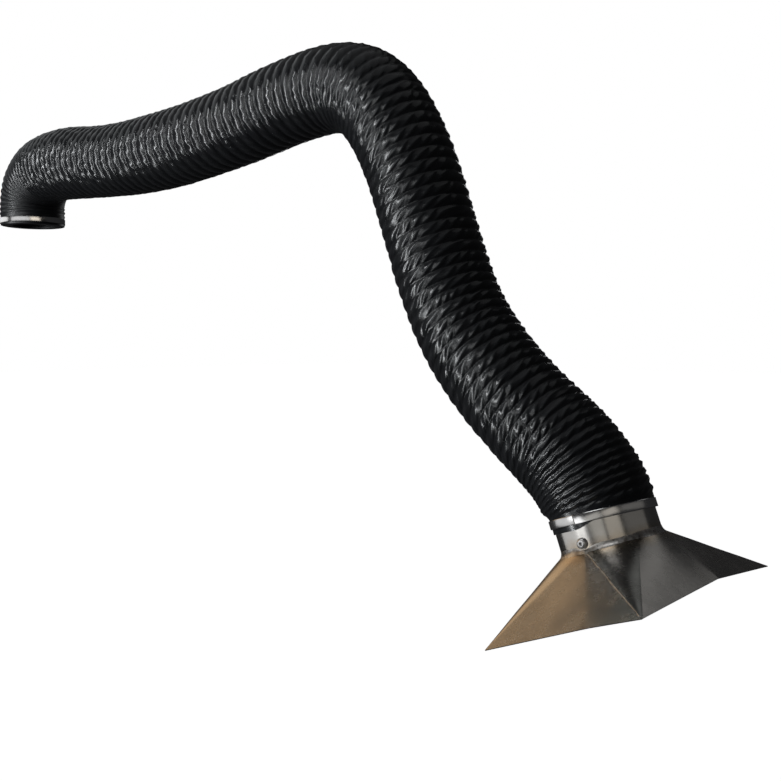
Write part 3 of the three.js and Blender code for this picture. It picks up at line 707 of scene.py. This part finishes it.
def ring_mesh(name, profile, seg, material, wobble=None, matrix=HOOD_M, strip=None):
    """Closed turned ring about t from a loop of (r, t) in mm; wobble(angle) gives (dr, dt). strip is (profile, from, to) of an open layer over it."""
    verts, faces = [], []

    def sweep(prof, angles, closed):
        base, m, k = len(verts), len(prof), len(angles)
        for f in angles:
            dr, dt = wobble(f) if wobble else (0, 0)
            for r, t in prof:
                verts.append(((r + dr) * math.cos(f) * MM, (r + dr) * math.sin(f) * MM, (t + dt) * MM))
        for i in range(k if closed else k - 1):
            i1 = (i + 1) % k
            for j in range(m):
                j1 = (j + 1) % m
                faces.append((base + i * m + j, base + i1 * m + j, base + i1 * m + j1, base + i * m + j1))
        if not closed:
            faces.append(tuple(base + j for j in range(m)))
            faces.append(tuple(base + (k - 1) * m + j for j in range(m)))

    sweep(profile, [2 * math.pi * i / seg for i in range(seg)], True)
    if strip:
        prof, a0, a1 = strip
        sweep(prof, [math.radians(a0 + (a1 - a0) * i / 90) for i in range(91)], False)
    ob = new_object(name, verts, faces, material, True, matrix)
    tidy(ob)
    sharpen(ob, 40)
    return ob


def collar():
    step = 5.1
    prof = [(78.5, WELD_T + 0.3), (80.0, WELD_T + 0.3)]
    prof += [(80.0, WELD_T + 0.3 + k * step) for k in range(1, 12)]
    prof += [(80.0, 46.6), (79.25, 47.0), (78.5, 46.6)]
    prof += [(78.5, WELD_T + 0.3 + k * step) for k in range(11, 0, -1)]
    wob = lambda f: (0.20 * math.sin(2 * f + 0.7) + 0.12 * math.sin(5 * f + 2.0) + 0.07 * math.sin(11 * f + 0.3) + 0.03 * math.sin(23 * f), 0)
    return ring_mesh("hood_collar_tube", prof, 192, M_COLLAR, wob)


col = collar()
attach(col, "hood")
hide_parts("hood_collar")


def bead(name, path, radius, material, seed, flat=0.62):
    """Weld bead: a lumpy run of metal along path (mm, hood frame)."""
    r = np.random.default_rng(seed)
    path = np.array(path)
    n = len(path)
    lump = np.convolve(r.normal(0, 1, n + 20), np.ones(5) / 5, "same")[10 : 10 + n]
    wide = np.convolve(r.normal(0, 1, n + 60), np.ones(21) / 21, "same")[30 : 30 + n] * 3.0
    sides = 10
    verts, faces = [], []
    for i in range(n):
        a, b = path[max(i - 1, 0)], path[min(i + 1, n - 1)]
        t = (b - a) / np.linalg.norm(b - a)
        out = np.array([path[i][0], path[i][1], 60.0])
        out = out - t * (out @ t)
        out /= np.linalg.norm(out)
        side = np.cross(t, out)
        rad = radius * (1 + 0.16 * lump[i] + 0.22 * wide[i] + 0.07 * math.cos(i * 1.9))
        rad *= max(0.25, min(1.0, i / 3.0, (n - 1 - i) / 3.0))
        for k in range(sides):
            f = 2 * math.pi * k / sides
            verts.append((path[i] + rad * (math.cos(f) * side + flat * math.sin(f) * out) + 0.3 * (lump[i] + wide[i]) * side) * MM)
    for i in range(n - 1):
        for k in range(sides):
            k1 = (k + 1) % sides
            faces.append((i * sides + k, i * sides + k1, (i + 1) * sides + k1, (i + 1) * sides + k))
    faces.append(tuple(range(sides))[::-1])
    faces.append(tuple((n - 1) * sides + k for k in range(sides)))
    ob = new_object(name, verts, faces, material, True, HOOD_M)
    tidy(ob)
    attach(ob, "hood")
    return ob


def collar_fillet():
    """Ground weld all round, from the collar out on to the sheet."""
    groups = {}
    for t, p in hood_columns():
        groups.setdefault(round(math.degrees(math.atan2(t[1], t[0])) % 360, 2), []).append((p - t) / np.linalg.norm(p - t))
    ang = sorted(groups)
    mean = np.array([np.mean(groups[k], axis=0) for k in ang])
    mean /= np.linalg.norm(mean, axis=1)[:, None]
    r = np.random.default_rng(5)
    seg, m = 240, 8
    rough = np.convolve(np.tile(r.normal(0, 1, seg), 3), np.ones(5) / 5, "same")[seg : 2 * seg]
    slow = np.convolve(np.tile(r.normal(0, 1, seg), 3), np.ones(17) / 17, "same")[seg : 2 * seg] * 2.5
    verts, faces = [], []
    for i in range(seg):
        deg = 360.0 * i / seg
        f = math.radians(deg)
        e = np.array([math.cos(f), math.sin(f), 0.0])
        d = np.array([np.interp(deg, ang, mean[:, k], period=360) for k in range(3)])
        d /= np.linalg.norm(d)
        near = math.exp(-((((deg - 90) % 180 + 90) % 180 - 90) / 9.0) ** 2)
        up = (6.2 + 1.0 * math.sin(3 * f + 1) + 0.9 * slow[i] + 0.4 * rough[i]) * (1 - 0.85 * near)
        low = 6.2 + 0.8 * math.sin(4 * f + 2) + 1.0 * slow[i] - 0.4 * rough[i]
        p0 = np.array([COLLAR_R * e[0], COLLAR_R * e[1], WELD_T])
        nrm = np.cross(np.array([-e[1], e[0], 0.0]), d)
        nrm = nrm * np.sign(nrm[2]) / np.linalg.norm(nrm)
        a = p0 + np.array([0, 0, up]) + 0.32 * e
        c = p0 + d * low + nrm * 0.12
        k0 = p0 + 0.9 * e + np.array([0, 0, 0.5 + 0.3 * rough[i]])
        for j in range(m):
            x = j / (m - 1)
            verts.append((a * (1 - x) ** 2 + 2 * k0 * x * (1 - x) + c * x**2 + 0.10 * rough[i] * math.sin(math.pi * x) * nrm) * MM)
        verts.append((p0 - 1.0 * e + np.array([0, 0, -0.8])) * MM)
    for i in range(seg):
        i1 = (i + 1) % seg
        for j in range(m + 1):
            j1 = (j + 1) % (m + 1)
            faces.append((i * (m + 1) + j, i1 * (m + 1) + j, i1 * (m + 1) + j1, i * (m + 1) + j1))
    ob = new_object("collar_weld", verts, faces, M_WELD, True, HOOD_M)
    tidy(ob)
    sharpen(ob, 50)
    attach(ob, "hood")
    return ob


welds = [collar_fillet()]
for tag, s in (("left", 1), ("right", -1)):
    p0 = np.array([0.0, -s * COLLAR_R, WELD_T])
    p1 = np.array([s * HOOD_W / 2, -s * HOOD_L / 2, WELD_T - HOOD_H])
    seam = [p0 + (p1 - p0) * (0.03 + 0.955 * i / 130) + np.array([0, 0, 0.15]) for i in range(131)]
    welds.append(bead(f"seam_weld_{tag}", seam, 1.15, M_WELD, 11 if s > 0 else 12))


# ---------------------------------------------------------------------- clamps
def clamp_band(name, z, matrix, body, old, skew, skew_dir, tail):
    """Hose band with the free end of its strap lying over it from the housing on."""
    prof = []
    h, r0, r1 = BAND_H, 83.6, 84.55
    for t, r in ((-h, r0), (-h, r1 - 0.1), (-h + 0.6, r1 + 0.25), (-h + 1.5, r1), (0, r1), (h - 1.5, r1), (h - 0.6, r1 + 0.25), (h, r1 - 0.1), (h, r0)):
        prof.append((r, z + t))
    k = h - 0.4
    over = [(r1 + 0.3, z - k), (r1 + 1.1, z - k), (r1 + 1.25, z - k + 0.8), (r1 + 1.2, z), (r1 + 1.25, z + k - 0.8), (r1 + 1.1, z + k), (r1 + 0.3, z + k)]
    wob = lambda f: (0.14 * math.sin(3 * f + 0.4) + 0.08 * math.sin(8 * f), skew * math.cos(f - skew_dir))
    ob = ring_mesh(name, prof, 160, M_BAND, wob, matrix, (over, *tail))
    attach(ob, body)
    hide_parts(old)
    return ob


hood_band = clamp_band("hose_band_hood", BAND_T, HOOD_M, "hood", "hood_clamp_band", BAND_SKEW, BAND_DIR, (158, 270))
base_band = clamp_band("hose_band_base", 12.0, Matrix.Identity(4), "turret", "base_clamp_band", 0.5, math.radians(10), (146, 346))


def button_screw(name, side):
    """Button-head screw with a hexagon socket, axis along y of the hood frame."""
    prof = [(0.0, 81.7), (2.7, 81.9), (2.75, 85.5), (4.0, 85.65), (5.9, 85.2), (7.5, 84.2), (8.6, 82.7), (9.0, 81.2), (9.0, 80.45), (5.0, 80.4), (5.0, 58.2), (4.2, 57.4), (0.0, 57.4)]
    seg = 48
    verts, faces = [], []
    for i in range(seg):
        f = 2 * math.pi * i / seg
        hexr = 1.0 / math.cos((f % (math.pi / 3)) - math.pi / 6)
        for j, (r, y) in enumerate(prof):
            rr = r * (hexr * 0.94 if j in (1, 2) else 1.0)
            verts.append((rr * math.cos(f) * MM, side * y * MM, rr * math.sin(f) * MM))
    m = len(prof)
    for i in range(seg):
        i1 = (i + 1) % seg
        for j in range(m - 1):
            faces.append((i * m + j, i1 * m + j, i1 * m + j + 1, i * m + j + 1))
    ob = new_object(name, verts, faces, M_SCREW, True, HOOD_M)
    tidy(ob)
    sharpen(ob, 35)
    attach(ob, "wrist")
    return ob


screws = []
for tag, side in (("left", -1), ("right", 1)):
    screws.append(button_screw(f"collar_screw_{tag}", side))
    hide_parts(f"hood_screw_{tag}")


# --------------------------------------------------------------- balance springs
def coil(name, start, end, radius, wire, turns, tail, old):
    """Extension spring from start to end (mm) with straight tails."""
    start, end = np.array(start, float), np.array(end, float)
    length = np.linalg.norm(end - start)
    ax = (end - start) / length
    side = np.cross(ax, Y_AX)
    side /= np.linalg.norm(side)
    up_ = np.cross(side, ax)
    n = turns * 18
    pts = [start + ax * (tail * i / 5) for i in range(6)]
    for i in range(1, n):
        f = i / n
        g = 2 * math.pi * turns * f
        grow = min(1.0, f * turns * 2, (1 - f) * turns * 2)
        pts.append(start + ax * (tail + (length - 2 * tail) * f) + radius * grow * (math.cos(g) * side + math.sin(g) * up_))
    pts += [end - ax * (tail * (1 - i / 5)) for i in range(6)]
    pts = np.array(pts)
    d = np.gradient(pts, axis=0)
    d /= np.linalg.norm(d, axis=1)[:, None]
    verts, faces, k = [], [], 8
    for p, t in zip(pts, d):
        u = np.cross(t, ax + 0.31 * side + 0.17 * up_)
        u /= np.linalg.norm(u)
        w = np.cross(t, u)
        for j in range(k):
            g = 2 * math.pi * j / k
            verts.append((p + wire * (math.cos(g) * u + math.sin(g) * w)) * MM)
    for i in range(len(pts) - 1):
        for j in range(k):
            j1 = (j + 1) % k
            faces.append((i * k + j, i * k + j1, (i + 1) * k + j1, (i + 1) * k + j))
    faces.append(tuple(range(k))[::-1])
    faces.append(tuple((len(pts) - 1) * k + j for j in range(k)))
    ob = new_object(name, verts, faces, M_SPRING)
    tidy(ob)
    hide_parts(old)
    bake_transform(ob)
    return ob


def arm_point(origin, aim, u, w):
    """Point u along and w above the line from origin to aim, in the plane of the arm."""
    d = np.array([aim[0] - origin[0], 0, aim[2] - origin[2]])
    d /= np.linalg.norm(d)
    return origin + u * d + w * np.array([-d[2], 0, d[0]])


LOWER = lambda u, w: arm_point(SHOULDER, ELBOW, u, w)
OUTER = lambda u, w: arm_point(ELBOW, hood_pt(0, 0, 95), u, w)
pin = arm_point(ELBOW, 2 * ELBOW - SHOULDER, 28, 19.6)
aim = OUTER(1, 0) - ELBOW
PIN_U, PIN_W = (pin - ELBOW) @ aim, (pin - ELBOW) @ np.array([-aim[2], 0, aim[0]])
coil("lower_balance_spring", LOWER(2.5, 39), LOWER(245, 36), 8.5, 1.6, 13, 14, "lower_spring")
coil("outer_balance_spring", OUTER(PIN_U + 6.5, PIN_W), OUTER(245, 28), 7.5, 1.5, 13, 14, "outer_spring")

# ------------------------------------------------------------------ stage, light
scene.view_settings.view_transform = "Standard"

floor_mat = Mat("pale_floor")
floor_mat.link(floor_mat.ramp(floor_mat.noise(floor_mat.coords(), 2, 3), [(0.3, (0.90, 0.90, 0.90)), (0.7, (0.92, 0.92, 0.92))]), floor_mat.b.inputs["Base Color"])
floor_mat.set(Roughness=0.9, Emission_Strength=1.0, Emission_Color=(1, 1, 1, 1))
floor = new_object("floor", [(-40, -40, -1.9), (40, -40, -1.9), (40, 40, -1.9), (-40, 40, -1.9)], [(0, 1, 2, 3)], floor_mat.m, False)
floor.visible_diffuse = floor.visible_glossy = floor.visible_transmission = floor.visible_shadow = False

# white sweep for the eye, dim room for the reflections
world = bpy.data.worlds.new("studio")
scene.world = world
world.use_nodes = True
wt = world.node_tree
bg = wt.nodes["Background"]
path = wt.nodes.new("ShaderNodeLightPath")
pick = wt.nodes.new("ShaderNodeMix")
pick.data_type = "RGBA"
pick.inputs[6].default_value = (0.022, 0.022, 0.023, 1)
pick.inputs[7].default_value = (1, 1, 1, 1)
wt.links.new(path.outputs["Is Camera Ray"], pick.inputs[0])
wt.links.new(pick.outputs[2], bg.inputs["Color"])


# soft boxes for the bright metal of the hood, and others for the rest of the arm
METAL = bpy.data.collections.new("hood_metal")
for ob in [hood, col, hood_band, *welds, *screws]:
    METAL.objects.link(ob)
BAND = bpy.data.collections.new("base_band")
BAND.objects.link(base_band)
ARM = bpy.data.collections.new("black_arm")
for ob in scene.objects:
    if ob.type == "MESH" and ob != floor and ob != base_band and ob.name not in METAL.objects:
        ARM.objects.link(ob)


def area(name, loc, target, size, radiance, color=(1, 1, 1), only=None, shape="RECTANGLE", lean=0):
    """Soft box of the given radiance, leaning to its side by some degrees."""
    d = bpy.data.lights.new(name, "AREA")
    d.shape = shape
    d.size, d.size_y = size
    d.energy = radiance * math.pi * size[0] * size[1] * (math.pi / 4 if shape == "ELLIPSE" else 1)
    d.color = color
    o = bpy.data.objects.new(name, d)
    scene.collection.objects.link(o)
    o.location = loc
    o.rotation_euler = ((Vector(target) - Vector(loc)).to_track_quat("-Z", "Y") @ Quaternion((0, 0, 1), math.radians(lean))).to_euler()
    o.visible_camera = False
    if only:
        o.light_linking.receiver_collection = only
    return o


area("key", (-0.95, -3.0, -0.1), (1.0, 0, -0.1), (0.24, 6.6), 29.0, (0.95, 0.98, 1.0), ARM, "ELLIPSE")
area("key_right", (0.45, -3.4, 0.3), (1.0, 0, 0.3), (0.17, 5.4), 7.5, (0.95, 0.98, 1.0), ARM, "ELLIPSE")
area("key_far", (1.7, -3.6, 0.2), (1.0, 0, 0.2), (0.16, 5.4), 3.5, (0.95, 0.98, 1.0), ARM, "ELLIPSE")
area("front", (1.6, -3.6, 1.6), (1.0, 0, 0), (1.5, 2.2), 1.0, (0.97, 0.99, 1.0), ARM)
area("back_soft", (-1.2, 3.9, 0.4), (1.0, 0, 0.0), (1.8, 2.6), 0.7, (0.97, 0.99, 1.0), ARM)
area("sheen", (-2.0, -0.2, 2.0), (0.7, 0, 0.15), (3.4, 2.2), 0.36, (0.95, 0.99, 1.0), ARM)
area("top", (1.0, 0.0, 3.2), (1.0, 0, 0), (4.5, 4.0), 0.12, (0.97, 0.99, 1.0), ARM)
area("band_left", (-3.0, -1.5, 0.3), (0, 0, 0.02), (4.0, 1.0), 1.1, (1, 1, 1), BAND)
area("band_front", (1.0, -3.2, 0.35), (0, 0, 0.02), (4.4, 1.0), 0.9, (1, 1, 1), BAND)
area("band_right", (3.4, -1.0, 0.35), (0, 0, 0.02), (2.6, 1.0), 1.3, (1.0, 0.9, 0.76), BAND)
area("brown", (-1.2, 0.2, 0.50), (1.85, -0.1, 0.38), (3.6, 1.72), 0.83, (1.0, 0.68, 0.39), METAL)
area("grey_left", (-0.9, 0.1, 2.12), (1.85, -0.1, -0.6), (3.0, 0.9), 0.26, (0.74, 0.98, 1), METAL)
area("grey_mid", (0.55, 1.62, 1.85), (1.85, 0, -0.6), (1.1, 1.2), 0.22, (0.95, 1, 1), METAL)
area("grey_back", (2.2, 2.8, 2.05), (1.9, 0, -0.6), (1.8, 1.15), 0.29, (1, 1, 1), METAL)
area("white_low", (-0.9, -1.7, -1.4), (1.8, 0, -0.6), (3.2, 1.1), 0.75, (1, 1, 1), METAL)
area("white_left", (0.0, -3.2, -0.3), (1.8, 0, -0.6), (2.0, 2.2), 1.5, (1, 1, 1), METAL)
area("white_top", (1.0, -1.4, 2.2), (1.8, 0, -0.6), (1.3, 1.3), 2.2, (1, 1, 1), METAL)
area("grey_front", (2.2, -3.2, 0.0), (1.8, 0, -0.6), (2.0, 1.4), 0.46, (1.0, 0.97, 0.9), METAL)
area("tan_right", (4.0, -2.2, 0.3), (1.8, 0, -0.6), (1.8, 1.4), 0.42, (1.0, 0.93, 0.82), METAL)
area("grey_right", (4.8, 0.5, 0.5), (1.8, 0, -0.6), (3.4, 1.2), 0.11, (1.0, 0.96, 0.9), METAL)
